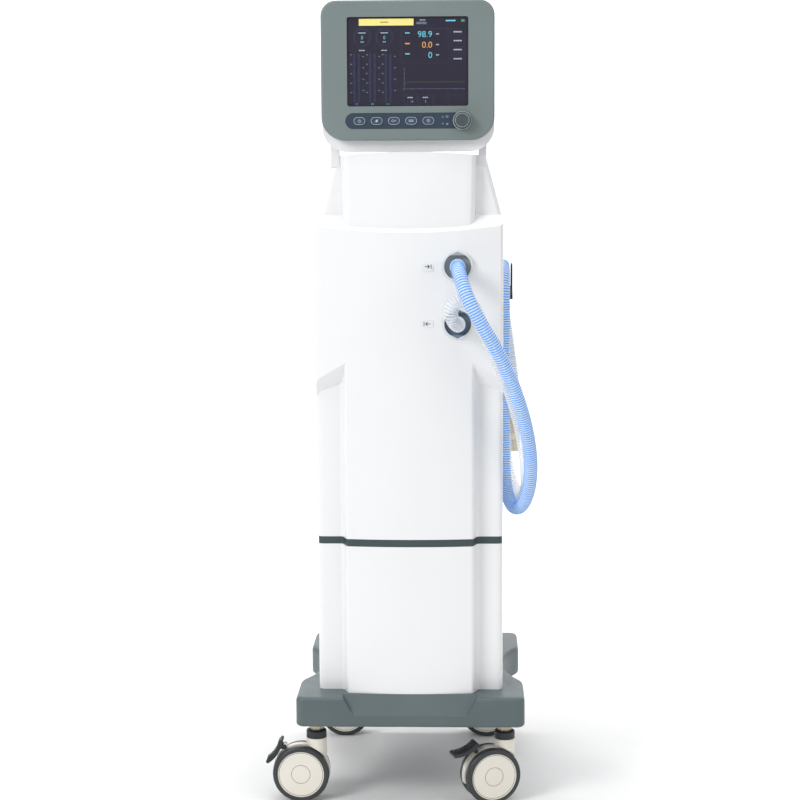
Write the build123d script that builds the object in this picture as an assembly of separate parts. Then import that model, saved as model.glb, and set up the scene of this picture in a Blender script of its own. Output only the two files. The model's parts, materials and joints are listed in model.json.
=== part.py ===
from build123d import *
import math
import os

# A hospital ventilator on its wheeled trolley, in millimetres.
# X runs to the right of a person facing the screen, Y runs to the back, Z runs up.
# The origin is on the floor under the centre of the base moulding.

# ---- driving dimensions -------------------------------------------------------
BASE_WIDTH = 400
BASE_DEPTH = 480
BASE_BOTTOM = 146
BASE_TOP = 199
BASE_WALL = 8
WAIST_HALF = 168

CABINET_HALF = 162.5
CABINET_REAR = 170
CABINET_BACK_HALF = 152
WIDE_PART_END = -140
NARROW_PART_START = -115
REAR_CORNER = 12
PANEL_OPENING_HALF = 140
PANEL_FRONT = -214
PANEL_EDGE_Y = -206
PANEL_HALF = 110
STEP_Y = -181
STEP_HALF = 118.5
SHELL_WALL = 3
POST_X = 127

BAND_BOTTOM = 461
BAND_TOP = 474
SCOOP_TOP_INNER = 780
SCOOP_TOP_OUTER = 764
SHOULDER_FRONT_Z = 1009
SHOULDER_BACK_Y = -172
SHOULDER_Z = 1035
HEAD_TOP = 1138
LIP_TOP = 1142.5
LIP_BACK = -191.7
CROWN_RADIUS = 1300
HEAD_HALF_BOTTOM = 161
HEAD_HALF_TOP = 133
HEAD_NARROWING = 10.5

MONITOR_HALF = 147
BEZEL_FRONT = -212
BEZEL_BACK = -190
BEZEL_BOTTOM = 1162
MONITOR_TOP = 1396
HOUSING_BOTTOM = 1143
HOUSING_BACK = -130
TILT_Y = -160
TILT_Z = 1166
SCREEN_WIDTH = 205
SCREEN_HEIGHT = 149
SCREEN_Z = 1293.5
STRIP_Z = 1194.5
STRIP_HEIGHT = 27
STRIP_LEFT = -106
KNOB_X = 92
KEY_FIRST_X = -82
KEY_PITCH = 29.2
KEY_NAMES = ["power_key", "silence_key", "gas_key", "menu_key", "lamp_key"]

WHEEL_RADIUS = 50
WHEEL_WIDTH = 15
WEB_THICKNESS = 13
CASTER_TRAIL = 27
CASTER_X = 168
CASTER_Y = 185
REAR_CASTER_Y = 208
STEM_RADIUS = 6
NECK_RADIUS = 18
NECK_TOP = 113
AXLE_RADIUS = 4
FENDER_RADIUS = 51
PEDAL_PIVOT_X = -57
PEDAL_PIVOT_Z = 96
PEDAL_SWING = 34
RUNNING_GAP = 0.05

PORT_X = 84
INHALE_Z = 948
EXHALE_Z = 850
PORT_RADIUS = 27
PORT_FACE = -213
CUFF_FRONT = -234
HOSE_RADIUS = 12

SADDLE_Y = 20
SADDLE_Z = 879
SADDLE_RADIUS = 23

# name, stem x, stem y, turn of the caster about its stem in degrees, has a brake pedal
CASTERS = [
    ("front_left", -CASTER_X, -CASTER_Y, 0, True),
    ("front_right", CASTER_X - 2, -CASTER_Y, 19, True),
    ("rear_left", -CASTER_X, REAR_CASTER_Y, 180, False),
    ("rear_right", CASTER_X - 2, REAR_CASTER_Y, 0, False),
]

# Blue hose: out of the upper port, down in a long loop, up the side, over the hook.
INSPIRATORY_ROUTE = [
    (84, -234, 948), (84, -264, 948), (89, -293, 930), (102, -309, 896),
    (123, -310, 857), (149, -301, 814), (172, -284, 765), (191, -263, 712),
    (204, -240, 660), (211, -214, 606), (208, -184, 556), (198, -143, 521),
    (184, -100, 508), (172, -66, 528), (167.5, -48, 582), (167, -40, 650),
    (166.5, -44, 755), (167, -39, 848), (166.5, -40.5, 904), (166.5, -5, 939.5),
    (166.5, 45, 939.5), (166.5, 80.5, 904), (169, 82, 850), (177, 85, 785),
    (186, 84, 720), (189, 85, 682), (189, 85, 655),
]

# Clear hose: out of the lower port, over a short hump, behind and inside the blue one.
EXPIRATORY_ROUTE = [
    (84, -234, 850), (84, -253, 850), (78, -268, 856), (72, -277, 869),
    (75, -280, 885), (88, -281, 895), (103, -279, 892), (113, -277, 880),
    (121, -275, 859), (136, -271, 825), (153, -263, 787),
    (171, -249, 745), (184, -232, 706), (195, -210, 661), (202, -186, 615),
    (206, -150, 572), (207, -106, 540), (201, -60, 519), (185, -24, 531),
    (173, -9, 576), (167.5, -11, 645), (166.5, -18, 755), (167, -14, 840),
    (166.5, -16, 894), (166.5, 5, 915), (166.5, 35, 915), (166.5, 56, 894),
    (170, 57, 845), (180, 58.5, 780), (187, 58, 720), (189, 58, 682), (189, 58, 655),
]

WYE_X = 189
WYE_ARM_Y = (58, 85)
WYE_TOP = 655


# ---- small helpers --------------------------------------------------------------
def block(x0, x1, y0, y1, z0, z1):
    return Pos((x0 + x1) / 2, (y0 + y1) / 2, (z0 + z1) / 2) * Box(x1 - x0, y1 - y0, z1 - z0)


def rod_x(y, z, x0, x1, radius):
    return Pos((x0 + x1) / 2, y, z) * Rot(0, 90, 0) * Cylinder(radius, x1 - x0)


def rod_y(x, z, y0, y1, radius):
    return Pos(x, (y0 + y1) / 2, z) * Rot(90, 0, 0) * Cylinder(radius, y1 - y0)


def rod_z(x, y, z0, z1, radius):
    return Pos(x, y, (z0 + z1) / 2) * Cylinder(radius, z1 - z0)


def facing(sketch, y_front, y_back):
    """Solid of a sketch drawn as seen from the front, x to the right and y up."""
    return extrude(Plane.XZ.offset(-y_back) * sketch, y_back - y_front)


def sideways(points, x0, x1):
    """Solid of a (y, z) polygon between two x positions."""
    face = Plane.YZ.offset(x0) * make_face(Polyline(*points, close=True))
    return extrude(face, x1 - x0)


def stadium(x, z, length, height):
    return Pos(x, z) * SlotOverall(length, height)


def write(node, *solids):
    shape = solids[0] if len(solids) == 1 else Compound(children=list(solids))
    export_step(shape, f"parts/{node}.step")


# ---- base ---------------------------------------------------------------------
def base_plan(inset):
    """Plan of the base: a rectangle with a hollow waist on each side."""
    half_width = BASE_WIDTH / 2 - inset
    half_depth = BASE_DEPTH / 2 - inset
    dip = BASE_WIDTH / 2 - WAIST_HALF
    reach = 118
    radius = (reach ** 2 + dip ** 2) / (2 * dip)
    plan = Rectangle(2 * half_width, 2 * half_depth)
    for side in (-1, 1):
        plan -= Pos(side * (WAIST_HALF + radius), 0) * Circle(radius + inset)
    corners = [v for v in plan.vertices() if abs(v.Y) > half_depth - 1]
    plan = fillet(corners, 15)
    lobes = [v for v in plan.vertices() if 80 < abs(v.Y) < 160]
    return fillet(lobes, 45)


def make_base_cover():
    body = extrude(Pos(0, 0, BASE_BOTTOM) * base_plan(0), BASE_TOP - BASE_BOTTOM)
    body = fillet(body.edges().group_by(Axis.Z)[-1], 8)
    body = fillet(body.edges().group_by(Axis.Z)[0], 6)
    notch_top = Pos(0, -235, BASE_TOP + 1) * Rectangle(238, 42)
    notch_foot = Pos(0, -245, 167) * Rectangle(197, 10)
    body -= loft([notch_foot, notch_top])
    pocket = extrude(Pos(0, 0, BASE_BOTTOM - 1) * base_plan(BASE_WALL), 192 - BASE_BOTTOM)
    pocket -= block(-128, 128, -240, -206, 140, 200)
    return body - pocket


def make_base_frame():
    frame = block(-186, 186, -204, -166, 163, 191)
    frame += block(-186, 186, 189, 227, 163, 191)
    for side in (-1, 1):
        frame += block(side * 110 - 20, side * 110 + 20, -166, 189, 163, 191)
    for name, x, y, turn, brake in CASTERS:
        frame += rod_z(x, y, 150, 191, 16)
    frame -= block(-140, 140, -201, -169, 166, 188)
    frame -= block(-140, 140, 192, 224, 166, 188)
    for side in (-1, 1):
        frame -= block(side * 110 - 17, side * 110 + 17, -160, 183, 166, 188)
    for name, x, y, turn, brake in CASTERS:
        frame -= rod_z(x, y, 140, 187, STEM_RADIUS)
    return frame


# ---- casters --------------------------------------------------------------------
def caster_place(x, y, turn):
    return Pos(x, y, 0) * Rot(0, 0, turn)


def make_caster_housing(brake):
    """Cream housing, with its stem axis on Z and the wheels trailing towards -X."""
    wheel_x = -CASTER_TRAIL
    half = WEB_THICKNESS / 2
    housing = rod_z(0, 0, 60, NECK_TOP, NECK_RADIUS)
    for y0, y1 in ((-30, -half), (half, 30)):
        housing -= rod_y(wheel_x, WHEEL_RADIUS, y0, y1, WHEEL_RADIUS + 2)
    web = rod_y(wheel_x, WHEEL_RADIUS, -half, half, FENDER_RADIUS)
    web -= block(-120, 60, -20, 20, -10, WHEEL_RADIUS - 12)
    web += rod_y(wheel_x, WHEEL_RADIUS, -half, half, 40)
    housing += web
    if brake:
        lug = rod_y(PEDAL_PIVOT_X, PEDAL_PIVOT_Z, -half, half, 4.2)
        neck = Pos(PEDAL_PIVOT_X + 6, 0, PEDAL_PIVOT_Z - 6) * Rot(0, 45, 0) * Box(18, 13, 8.4)
        housing += lug + neck
        housing -= rod_y(PEDAL_PIVOT_X, PEDAL_PIVOT_Z, -20, 20, 2 + RUNNING_GAP)
    housing -= rod_z(0, 0, 94, NECK_TOP + 1, STEM_RADIUS + RUNNING_GAP)
    housing -= rod_y(wheel_x, WHEEL_RADIUS, -20, 20, AXLE_RADIUS)
    return housing


def make_wheel(side):
    """Hub with its bonded tread, on one side of the caster's web."""
    inner = side * (WEB_THICKNESS / 2 + 1)
    outer = inner + side * WHEEL_WIDTH
    y0, y1 = sorted((inner, outer))
    wheel = rod_y(0, 0, y0, y1, WHEEL_RADIUS)
    wheel = fillet(wheel.edges().filter_by(GeomType.CIRCLE), 4.5)
    dish0, dish1 = sorted((outer - side * 1.2, outer + side))
    wheel -= rod_y(0, 0, dish0, dish1, 41)
    for groove in (16.2, 38.5):
        cut0, cut1 = sorted((outer - side * 2.0, outer + side))
        ring = rod_y(0, 0, cut0, cut1, groove + 0.7) - rod_y(0, 0, cut0, cut1, groove)
        wheel -= ring
    bore0, bore1 = sorted((inner - side, outer - side * 3.5))
    wheel -= rod_y(0, 0, bore0, bore1, AXLE_RADIUS + RUNNING_GAP)
    return Pos(-CASTER_TRAIL, 0, WHEEL_RADIUS) * wheel


def make_axle():
    reach = WEB_THICKNESS / 2 + 1 + WHEEL_WIDTH - 4
    return rod_y(-CASTER_TRAIL, WHEEL_RADIUS, -reach, reach, AXLE_RADIUS)


def make_pedal(swing):
    """Curved foot pedal with two ears on a pin, pressed down at swing 0."""
    path = ThreePointArc((-62.5, 107), (-67.9, 90.9), (-86.5, 70.5))
    outline = offset(path, 3, side=Side.BOTH)
    plate = extrude(Plane.XZ.offset(-14) * make_face(outline), 28)
    ears = rod_y(PEDAL_PIVOT_X, PEDAL_PIVOT_Z, -9.6, 9.6, 4.2)
    ears += Pos(PEDAL_PIVOT_X - 5, 0, PEDAL_PIVOT_Z) * Box(8, 19.2, 7)
    ears -= rod_y(PEDAL_PIVOT_X, PEDAL_PIVOT_Z, -6.8, 6.8, 4.8)
    ears -= Pos(PEDAL_PIVOT_X - 2.5, 0, PEDAL_PIVOT_Z) * Box(5, 13.6, 9)
    pedal = plate + ears + rod_y(PEDAL_PIVOT_X, PEDAL_PIVOT_Z, -9, 9, 2)
    pivot = Pos(PEDAL_PIVOT_X, 0, PEDAL_PIVOT_Z)
    return pivot * Rot(0, swing, 0) * pivot.inverse() * pedal


def make_stem(x, y):
    nut = extrude(Pos(x, y, 127.2) * RegularPolygon(12.2, 6), 11.8)
    spacer = rod_z(x, y, 139, 150, 14)
    return rod_z(x, y, 96, 186, STEM_RADIUS) + nut + spacer


def make_collar(x, y):
    collar = rod_z(x, y, NECK_TOP + 0.4, 127, NECK_RADIUS)
    collar = fillet(collar.edges().group_by(Axis.Z)[-1], 2.5)
    return collar - rod_z(x, y, 100, 130, STEM_RADIUS)


def write_casters():
    stems = []
    collars = []
    for name, x, y, turn, brake in CASTERS:
        place = caster_place(x, y, turn)
        write(f"caster_housing_{name}", place * make_caster_housing(brake))
        write(f"caster_axle_{name}", place * make_axle())
        for side in (-1, 1):
            faces_away = side * math.cos(math.radians(turn)) * y > 0
            word = "outer" if faces_away else "inner"
            write(f"wheel_{name}_{word}", place * make_wheel(side))
        stems.append(make_stem(x, y))
        collars.append(make_collar(x, y))
    write("caster_stems", *stems)
    write("caster_collars", *collars)
    left = caster_place(*CASTERS[0][1:4])
    right = caster_place(*CASTERS[1][1:4])
    write("brake_pedal_left", left * make_pedal(0))
    write("brake_pedal_right", right * make_pedal(PEDAL_SWING))


# ---- cabinet --------------------------------------------------------------------
def flush_plan():
    """Plan of the cabinet above the side scoops, with its gently bowed front."""
    bow = PANEL_EDGE_Y - PANEL_FRONT
    radius = (PANEL_HALF ** 2 + bow ** 2) / (2 * bow)
    edge_y = PANEL_FRONT + radius - math.sqrt(radius ** 2 - CABINET_HALF ** 2)
    sides = Polyline(
        (-CABINET_HALF, edge_y), (-CABINET_HALF, WIDE_PART_END),
        (-CABINET_BACK_HALF, NARROW_PART_START), (-CABINET_BACK_HALF, CABINET_REAR),
        (CABINET_BACK_HALF, CABINET_REAR), (CABINET_BACK_HALF, NARROW_PART_START),
        (CABINET_HALF, WIDE_PART_END), (CABINET_HALF, edge_y),
    )
    front = ThreePointArc((CABINET_HALF, edge_y), (0, PANEL_FRONT), (-CABINET_HALF, edge_y))
    return make_face(sides + front)


def scoop_plan(side, grow):
    """Plan of the corner that the scoop takes away, grown by the wall for the inside."""
    slope = (STEP_HALF - PANEL_HALF) / (STEP_Y - PANEL_EDGE_Y)
    far_y = -240
    inner = STEP_HALF - grow
    toe = inner + slope * (far_y - STEP_Y - grow)
    points = [
        (side * inner, STEP_Y + grow), (side * toe, far_y),
        (side * 180, far_y), (side * 180, STEP_Y + grow),
    ]
    return make_face(Polyline(*points, close=True))


def round_corners(plan, inset):
    """Rounds the upright edges of a cabinet plan."""
    rear = [v for v in plan.vertices() if v.Y > CABINET_REAR - inset - 1]
    plan = fillet(rear, REAR_CORNER - inset)
    corner = [v for v in plan.vertices() if abs(v.X) > CABINET_HALF - inset - 1 and v.Y < -170]
    return fillet(corner, 10 - inset)


def stepped_plan(inset):
    plan = flush_plan()
    if inset:
        plan = offset(plan, -inset, kind=Kind.INTERSECTION)
    for side in (-1, 1):
        plan -= scoop_plan(side, inset)
    plan = round_corners(plan, inset)
    inner = [v for v in plan.vertices() if abs(v.Y - STEP_Y - inset) < 0.5 and abs(v.X) < 130]
    plan = fillet(inner, 7 + inset)
    toe = [v for v in plan.vertices() if v.Y < STEP_Y - 10 + inset and abs(v.X) > 80]
    return fillet(toe, 6 - inset / 2)


def scoop_roof(side, raise_by):
    """Everything under the sloping roof of a scoop."""
    roof = Plane(
        origin=(side * 115, PANEL_EDGE_Y, SCOOP_TOP_INNER + raise_by),
        z_dir=(side * 400, 1575, 1125),
    )
    return roof * Pos(0, 0, -200) * Box(700, 700, 400)


def upper_block(inset):
    """Upper cabinet: stepped below the scoops and flush above them."""
    block_low = extrude(Pos(0, 0, BAND_TOP) * stepped_plan(inset), SHOULDER_Z - BAND_TOP)
    flush = flush_plan()
    if inset:
        flush = offset(flush, -inset, kind=Kind.INTERSECTION)
    flush = round_corners(flush, inset)
    for side in (-1, 1):
        filler = extrude(Pos(0, 0, 700) * flush, SHOULDER_Z - 700)
        lo, hi = sorted((side * 90, side * 200))
        filler &= block(lo, hi, -260, 0, 700, SHOULDER_Z)
        block_low += filler - scoop_roof(side, inset * 1.8)
    return block_low


def below_shoulder(drop):
    """Side profile of everything under the sloping shoulder line."""
    slope = (SHOULDER_Z - SHOULDER_FRONT_Z) / (SHOULDER_BACK_Y + 209)
    low = SHOULDER_FRONT_Z - slope * (260 - 209)
    points = [
        (-260, low - drop), (SHOULDER_BACK_Y, SHOULDER_Z - drop), (260, SHOULDER_Z - drop),
        (260, 400), (-260, 400),
    ]
    return sideways(points, -200, 200)


def rear_opening(z0, z1):
    half = PANEL_OPENING_HALF
    return block(-half, half, CABINET_REAR - 12, CABINET_REAR + 5, z0, z1)


def label_plate(z, grow):
    sketch = Pos(32.5, z) * RectangleRounded(19 + grow, 10.5 + grow, 2.4)
    return facing(sketch, PORT_FACE - 1.2, PORT_FACE + 3.2)


def make_lower_shell():
    shell = extrude(Pos(0, 0, BASE_TOP) * stepped_plan(0), BAND_BOTTOM - BASE_TOP)
    inner = extrude(Pos(0, 0, BASE_TOP - 1) * stepped_plan(SHELL_WALL), BAND_BOTTOM - BASE_TOP + 2)
    return shell - inner - rear_opening(BASE_TOP + 6, BAND_BOTTOM + 1)


def make_trim_band():
    band = extrude(Pos(0, 0, BAND_BOTTOM) * stepped_plan(1), BAND_TOP - BAND_BOTTOM)
    band -= extrude(Pos(0, 0, BAND_BOTTOM - 1) * stepped_plan(4.5), BAND_TOP - BAND_BOTTOM + 2)
    return band - rear_opening(BAND_BOTTOM - 1, BAND_TOP + 1)


def make_upper_shell():
    shell = upper_block(0) & below_shoulder(0)
    cavity = upper_block(SHELL_WALL) & below_shoulder(SHELL_WALL)
    shell -= cavity
    shell -= extrude(Pos(0, 0, BAND_TOP - 1) * stepped_plan(SHELL_WALL), 3)
    shell -= rear_opening(BAND_TOP - 1, SHOULDER_Z - 7)
    shell -= block(-100, 100, -110, 100, SHOULDER_Z - 10, SHOULDER_Z + 1)
    for z in (INHALE_Z, EXHALE_Z):
        shell -= rod_y(PORT_X, z, -230, -180, PORT_RADIUS + 0.1)
    for z in (INHALE_Z - 2.5, EXHALE_Z):
        shell -= label_plate(z, 0.2)
    return shell


def head_panel_plan(half, edge_y, front_y):
    front = ThreePointArc((-half, edge_y), (0, front_y), (half, edge_y))
    back = Polyline((half, edge_y), (half, -150), (-half, -150), (-half, edge_y))
    plan = make_face(front + back)
    return fillet([v for v in plan.vertices() if v.Y < -170], 16)


def head_plan(half, front, back):
    """Plan of the head: a little narrower behind, like the cabinet under it."""
    narrow = half - HEAD_NARROWING
    points = [
        (half, front), (half, WIDE_PART_END), (narrow, NARROW_PART_START), (narrow, back),
        (-narrow, back), (-narrow, NARROW_PART_START), (-half, WIDE_PART_END), (-half, front),
    ]
    plan = make_face(Polyline(*points, close=True))
    return fillet([v for v in plan.vertices() if v.Y > back - 1 or v.Y < front + 1], 16)


def head_block(inset):
    """Tapered head with a bowed front panel, before its bottom is cut off."""
    top = HEAD_TOP - inset
    low_half = HEAD_HALF_BOTTOM - inset
    top_half = HEAD_HALF_TOP - inset
    front = -171 + inset
    foot_plan = Pos(0, 0, SHOULDER_Z - 30) * head_plan(low_half + 7.5, front, 168 - inset)
    crown_plan = Pos(0, 0, top) * head_plan(top_half, front + 4, 30 - inset)
    head = loft([foot_plan, crown_plan])
    panel_foot = Pos(0, 0, 1000) * head_panel_plan(113 - inset, -196 + inset, -204 + inset)
    lip = Pos(0, 0, LIP_TOP - inset)
    panel_crown = lip * head_panel_plan(116 - inset, -195.5 + inset, -203 + inset)
    return head + loft([panel_foot, panel_crown])


def make_head_shell():
    centre = LIP_TOP - CROWN_RADIUS
    head = head_block(0) & rod_y(0, centre, -260, 260, CROWN_RADIUS)
    head -= block(-200, 200, LIP_BACK, 260, HEAD_TOP, HEAD_TOP + 20)
    inner = head_block(SHELL_WALL) & rod_y(0, centre, -260, 260, CROWN_RADIUS - SHELL_WALL)
    inner -= block(-200, 200, -260, 260, HEAD_TOP - SHELL_WALL, HEAD_TOP + 20)
    shell = head - inner - below_shoulder(0)
    shell -= block(-40, 40, -130, -60, HEAD_TOP - 12, HEAD_TOP + 1)
    for bracket in make_tilt_brackets():
        shell -= bracket
    return shell


def make_rear_panel():
    half = PANEL_OPENING_HALF - 0.5
    panel = block(-half, half, CABINET_REAR - 3, CABINET_REAR, BASE_TOP + 6.5, SHOULDER_Z - 7.5)
    for row in range(12):
        z = 860 - row * 16
        panel -= facing(stadium(0, z, 180, 5), CABINET_REAR - 4, CABINET_REAR + 1)
    for x, radius in ((-60, 8), (0, 10.5)):
        panel -= rod_y(x, 330, CABINET_REAR - 5, CABINET_REAR + 1, radius)
    panel -= block(72.8, 105.2, CABINET_REAR - 5, CABINET_REAR + 1, 317.8, 342.2)
    for x, z in screw_places():
        panel -= rod_y(x, z, CABINET_REAR - 5, CABINET_REAR + 1, 2.2)
    return panel


def screw_places():
    return [(side * POST_X, z) for side in (-1, 1) for z in (225, 420, 620, 820, 1010)]


def make_panel_screws():
    screws = []
    for x, z in screw_places():
        shank = rod_y(x, z, CABINET_REAR - 9, CABINET_REAR, 2)
        cap = rod_y(x, z, CABINET_REAR, CABINET_REAR + 2.2, 4)
        cap -= facing(Pos(x, z) * RegularPolygon(1.7, 6), CABINET_REAR + 0.8, CABINET_REAR + 3)
        screws.append(shank + cap)
    return screws


def make_inner_frame():
    frame = None
    for side in (-1, 1):
        lo, hi = sorted((side * (POST_X - 12), side * (POST_X + 12)))
        rear_post = block(lo, hi, CABINET_REAR - 27, CABINET_REAR - 3, BASE_TOP, 1028)
        front_post = block(lo, hi, -172, -148, BASE_TOP, 1010)
        frame = rear_post + front_post if frame is None else frame + rear_post + front_post
    for z in (BASE_TOP, 480, 780, 1000):
        shelf = block(-POST_X, POST_X, -172, CABINET_REAR - 3, z, z + 4)
        shelf -= block(-70, 70, 80, 130, z - 1, z + 5)
        frame += shelf
    for x, z in screw_places():
        frame -= rod_y(x, z, CABINET_REAR - 9, CABINET_REAR + 1, 2)
    return frame


# ---- gas ports and what is behind them --------------------------------------------
def make_port(z):
    """Round port: a rim, a flat-sided recess and the male cone for the hose cuff."""
    port = rod_y(PORT_X, z, PORT_FACE, -190, PORT_RADIUS)
    port = fillet(port.edges().group_by(Axis.Y)[0], 1.5)
    recess = Pos(PORT_X, z) * Circle(23) & Pos(PORT_X, z) * Rectangle(46, 38)
    port -= facing(recess, PORT_FACE - 1, PORT_FACE + 10)
    port += rod_y(PORT_X, z, -226, -180, 11)
    return port - rod_y(PORT_X, z, -230, -170, 9)


def make_cuff(z):
    cuff = rod_y(PORT_X, z, CUFF_FRONT, -208, 13.3)
    cuff = fillet(cuff.edges().group_by(Axis.Y)[0], 1.0)
    return cuff - rod_y(PORT_X, z, -226, -200, 11) - rod_y(PORT_X, z, -236, -220, 9.5)


def make_gas_mixer():
    mixer = block(40, 128, -140, -60, 800, 990)
    for z in (INHALE_Z, EXHALE_Z):
        mixer += rod_y(PORT_X, z, -180, -139, 9)
        mixer += rod_y(PORT_X, z, -61, -30, 20)
    for x in (58, 84, 110):
        mixer += rod_y(x, 898, -61, -20, 11)
    return mixer


def make_gas_inlet(x, thread_radius):
    y = CABINET_REAR
    inlet = rod_y(x, 330, y - 22, y, thread_radius + 0.8 if thread_radius < 8 else 10.4)
    inlet += facing(Pos(x, 330) * RegularPolygon(thread_radius + 4, 6), y, y + 5)
    inlet += rod_y(x, 330, y + 5, y + 24, thread_radius)
    return inlet - rod_y(x, 330, y - 23, y + 25, 3)


def make_mains_inlet():
    y = CABINET_REAR
    inlet = block(73, 105, y - 26, y, 318, 342)
    inlet += facing(Pos(89, 330) * RectangleRounded(50, 28, 3), y, y + 2.5)
    inlet -= facing(Pos(89, 330) * RectangleRounded(26, 18, 3), y - 18, y + 3)
    for dx, dz in ((-7, -2), (0, 3), (7, -2)):
        inlet += block(88 + dx, 90 + dx, y - 18, y - 6, 328 + dz, 332 + dz)
    return inlet


# ---- monitor --------------------------------------------------------------------
def monitor_face(half, bottom, top, top_radius, bottom_radius):
    """Front view of the monitor, with larger radii at the bottom."""
    face = Pos(0, (bottom + top) / 2) * Rectangle(2 * half, top - bottom)
    low = [v for v in face.vertices() if v.Y < (bottom + top) / 2]
    face = fillet(low, bottom_radius)
    high = [v for v in face.vertices() if v.Y > top - 1]
    return fillet(high, top_radius)


def make_monitor_housing():
    outer = facing(monitor_face(MONITOR_HALF, HOUSING_BOTTOM, MONITOR_TOP - 2, 26, 42),
                   BEZEL_BACK, HOUSING_BACK)
    profile = [
        (BEZEL_BACK, HOUSING_BOTTOM), (BEZEL_BACK, MONITOR_TOP), (-152, MONITOR_TOP),
        (HOUSING_BACK, MONITOR_TOP - 26), (HOUSING_BACK, 1205), (-150, HOUSING_BOTTOM),
    ]
    outer &= sideways(profile, -160, 160)
    inner = facing(monitor_face(MONITOR_HALF - 3, 1196, MONITOR_TOP - 5, 23, 6),
                   BEZEL_BACK - 1, HOUSING_BACK)
    inner_profile = [
        (BEZEL_BACK - 1, 1190), (BEZEL_BACK - 1, MONITOR_TOP), (-154, MONITOR_TOP),
        (HOUSING_BACK - 3, MONITOR_TOP - 29), (HOUSING_BACK - 3, 1190),
    ]
    inner &= sideways(inner_profile, -160, 160)
    low_room = facing(monitor_face(MONITOR_HALF - 3, HOUSING_BOTTOM + 3, 1200, 3, 39),
                      BEZEL_BACK - 1, -160)
    low_room &= block(-112, 112, -195, -160, 1170, 1200)
    housing = outer - inner - low_room
    for side in (-1, 1):
        lo, hi = sorted((side * 119, side * 135))
        housing -= block(lo, hi, -180, HOUSING_BACK + 5, HOUSING_BOTTOM - 5, 1180)
        pin_lo, pin_hi = sorted((side * 115, side * 140))
        housing -= rod_x(TILT_Y, TILT_Z, pin_lo, pin_hi, 3 + RUNNING_GAP)
    for column in range(9):
        x = (column - 4) * 20
        slot = Pos(x, 1340) * Rot(0, 0, 90) * SlotOverall(40, 5)
        housing -= facing(slot, HOUSING_BACK - 8, HOUSING_BACK + 5)
    return housing


def make_monitor_bezel():
    bezel = facing(monitor_face(MONITOR_HALF, BEZEL_BOTTOM, MONITOR_TOP, 26, 40),
                   BEZEL_FRONT, BEZEL_BACK)
    bezel = fillet(bezel.edges().group_by(Axis.Y)[0], 4)
    bezel -= facing(monitor_face(MONITOR_HALF - 4, BEZEL_BOTTOM + 4, MONITOR_TOP - 4, 22, 36),
                    BEZEL_FRONT + 3.5, BEZEL_BACK + 1)
    window = Pos(0, SCREEN_Z) * RectangleRounded(SCREEN_WIDTH, SCREEN_HEIGHT, 4)
    bezel -= facing(window, BEZEL_FRONT - 1, BEZEL_FRONT + 5)
    bezel -= facing(strip_sketch(0), BEZEL_FRONT - 1, BEZEL_FRONT + 2.6)
    inner_slot = stadium((STRIP_LEFT + KNOB_X + 13.5) / 2, STRIP_Z, 199, 20)
    return bezel - facing(inner_slot, BEZEL_FRONT - 1, BEZEL_FRONT + 5)


def strip_sketch(shrink):
    length = KNOB_X + 13.5 - STRIP_LEFT - shrink
    return stadium((STRIP_LEFT + KNOB_X + 13.5) / 2, STRIP_Z, length, STRIP_HEIGHT - shrink)


def key_x(index):
    return KEY_FIRST_X + index * KEY_PITCH


def make_keypad_strip():
    strip = facing(strip_sketch(0.2), BEZEL_FRONT + 0.4, BEZEL_FRONT + 2.6)
    for index in range(len(KEY_NAMES)):
        strip -= facing(stadium(key_x(index), STRIP_Z, 21, 14), BEZEL_FRONT - 1, BEZEL_FRONT + 4)
    return strip - rod_y(KNOB_X, STRIP_Z, BEZEL_FRONT - 1, BEZEL_FRONT + 4, 4)


def make_key(index):
    cap = facing(stadium(key_x(index), STRIP_Z, 20.4, 13.4), BEZEL_FRONT - 1.2, BEZEL_FRONT + 5)
    cap = fillet(cap.edges().group_by(Axis.Y)[0], 0.5)
    return cap + facing(stadium(key_x(index), STRIP_Z, 23, 16), BEZEL_FRONT + 3.2, BEZEL_FRONT + 5)


def make_screen_glass():
    sketch = Pos(0, SCREEN_Z) * RectangleRounded(SCREEN_WIDTH - 0.4, SCREEN_HEIGHT - 0.4, 3.8)
    return facing(sketch, BEZEL_FRONT + 0.8, BEZEL_FRONT + 2.6)


def make_display_panel():
    sketch = Pos(0, SCREEN_Z) * Rectangle(SCREEN_WIDTH + 14, SCREEN_HEIGHT + 12)
    face = Pos(0, SCREEN_Z) * Rectangle(SCREEN_WIDTH - 5, SCREEN_HEIGHT - 5)
    panel = facing(sketch, BEZEL_FRONT + 3.7, BEZEL_FRONT + 9.5)
    return panel + facing(face, BEZEL_FRONT + 2.8, BEZEL_FRONT + 3.7)


def make_monitor_board():
    board = facing(Pos(0, 1277) * Rectangle(236, 190), -196, -194.4)
    board += block(KNOB_X - 7, KNOB_X + 7, -203, -195, STRIP_Z - 7, STRIP_Z + 7)
    board -= rod_y(KNOB_X, STRIP_Z, -206, -197, 3.4)
    for x, z in ((-60, 1300), (0, 1260), (55, 1320)):
        board += block(x - 15, x + 15, -194.6, -189, z - 15, z + 15)
    return board


def make_encoder_shaft():
    shaft = rod_y(KNOB_X, STRIP_Z, -226, -199, 3)
    return shaft + rod_y(KNOB_X, STRIP_Z, -206.5, -204.5, 5)


def make_control_knob():
    knob = rod_y(KNOB_X, STRIP_Z, -231, -216.5, 13.6)
    knob = fillet(knob.edges().group_by(Axis.Y)[0], 1.6)
    knob += rod_y(KNOB_X, STRIP_Z, -217.5, -214, 16)
    return knob - rod_y(KNOB_X, STRIP_Z, -227, -210, 3 + RUNNING_GAP)


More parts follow.
